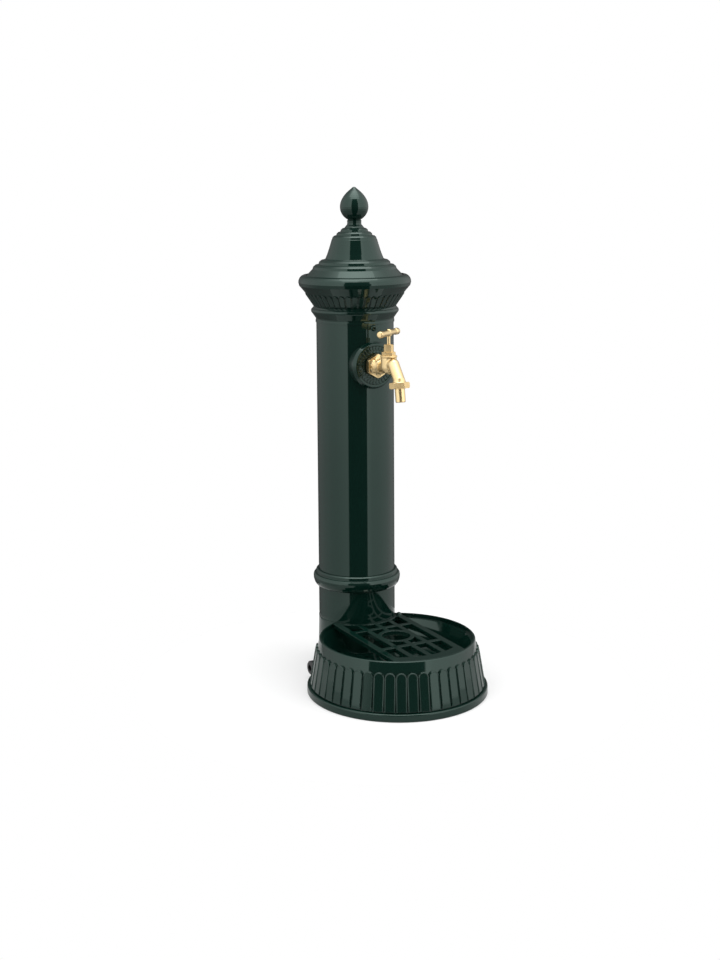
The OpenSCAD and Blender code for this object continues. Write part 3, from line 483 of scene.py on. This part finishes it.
def makeStudio():
    world = bpy.data.worlds.new("studio")
    bpy.context.scene.world = world
    f = Finish(world)
    turn = radians(place["cameraTurn"])
    direction = f.node("ShaderNodeTexCoord", {}, {}, "Generated")
    along = f.node("ShaderNodeVectorMath", {"operation": "DOT_PRODUCT"},
                   {0: direction, 1: (-sin(turn), -cos(turn), 0)}, "Value")
    across = f.node("ShaderNodeVectorMath", {"operation": "DOT_PRODUCT"},
                    {0: direction, 1: (cos(turn), -sin(turn), 0)}, "Value")
    up = f.node("ShaderNodeSeparateXYZ", {}, {0: direction}, "Z")
    bearing = across.maths("ARCTAN2", along) * (180 / pi)
    elevation = up.maths("ARCSINE") * (180 / pi)
    low = elevation.above(studio["lowFrom"], studio["lowFromSoft"])
    low = low * elevation.below(studio["lowTo"], studio["lowToSoft"])
    gap = bearing.above(studio["gapLeft"] + low * studio["lowLeft"], studio["gapSideSoft"])
    gap = gap * bearing.below(studio["gapRight"] + low * studio["lowRight"], studio["gapSideSoft"])
    gap = gap * elevation.below(studio["gapTop"], studio["gapTopSoft"])
    gap = gap * elevation.above(studio["gapFoot"], studio["gapFootSoft"])
    overhead = elevation.above(studio["overheadFrom"], studio["overheadSoft"])
    level = f.ramp(bearing / 360 + 0.5, studio["round"]) * (1 - overhead) + overhead * studio["overhead"]
    level = level * studio["most"]
    level = level * f.ramp(elevation / 180 + 0.5, studio["rise"]) * studio["full"]
    level = level * (1 - gap * studio["gapDepth"])
    seen = f.node("ShaderNodeLightPath", {}, {}, "Is Camera Ray")
    white = seen + (1 - seen) * level
    f.node("ShaderNodeOutputWorld", {}, {"Surface": f.node("ShaderNodeBackground", {}, {
        "Color": (1.0, 1.0, 1.0), "Strength": white})})


floorPlate = {
    "radius": 0.36,
    "colour": (0.48, 0.48, 0.48),
    "paler": (0.50, 0.50, 0.50),
    "cloudScale": 3.0,
    "roughness": 0.9,
    "glow": 0.34,  # what the camera sees on top of the floor's own shade, up to the white of the backdrop
}


def makeFloor():
    bm = bmesh.new()
    bmesh.ops.create_circle(bm, cap_ends=True, segments=96, radius=floorPlate["radius"])
    mesh = bpy.data.meshes.new("floor")
    bm.to_mesh(mesh)
    bm.free()
    floor = bpy.data.objects.new("floor", mesh)
    bpy.context.scene.collection.objects.link(floor)
    f = newFinish("paleFloor")
    seen = f.node("ShaderNodeLightPath", {}, {}, "Is Camera Ray")
    cloud = f.noise(f.place(), floorPlate["cloudScale"], 2.0)
    shader = f.node("ShaderNodeBsdfPrincipled", {}, {
        "Base Color": f.mix(cloud, floorPlate["colour"], floorPlate["paler"]),
        "Roughness": floorPlate["roughness"]})
    glow = f.node("ShaderNodeEmission", {}, {"Color": (1.0, 1.0, 1.0), "Strength": seen * floorPlate["glow"]})
    both = f.node("ShaderNodeAddShader", {}, {0: shader, 1: glow})
    f.node("ShaderNodeOutputMaterial", {}, {"Surface": both})
    mesh.materials.append(f.owner)


softLamp = {
    "size": (1.4, 1.0),
    "watts": 5.0,
    "location": (-0.1, -0.2, 1.9),
}


def makeLamp():
    lamp = bpy.data.lights.new("overhead", "AREA")
    lamp.shape = "RECTANGLE"
    lamp.size, lamp.size_y = softLamp["size"]
    lamp.energy = softLamp["watts"]
    light = bpy.data.objects.new("overhead", lamp)
    light.location = softLamp["location"]
    bpy.context.scene.collection.objects.link(light)


view = {
    "lens": 54.792,
    "shift": (0.0351, -0.1176),
    "location": (-0.9858, -1.8154, 0.7494),
    "down": 7.814,  # degrees
    "roll": -0.566,
}


def makeCamera():
    camera = bpy.data.cameras.new("camera")
    camera.lens = view["lens"]
    camera.shift_x, camera.shift_y = view["shift"]
    camera.clip_start, camera.clip_end = 0.05, 50.0
    viewer = bpy.data.objects.new("camera", camera)
    bpy.context.scene.collection.objects.link(viewer)
    turn, down, roll = radians(place["cameraTurn"]), radians(view["down"]), radians(view["roll"])
    ahead = Vector((sin(turn) * cos(down), cos(turn) * cos(down), -sin(down)))
    right = Vector((cos(turn), -sin(turn), 0))
    up = right.cross(ahead)
    right, up = right * cos(roll) + up * sin(roll), up * cos(roll) - right * sin(roll)
    viewer.matrix_world = Matrix.Translation(view["location"]) @ Matrix(
        (right, up, -ahead)).transposed().to_4x4()
    bpy.context.scene.camera = viewer


makeStudio()
makeFloor()
makeLamp()
makeCamera()
bpy.context.scene.view_settings.view_transform = "Standard"
print("studio made")
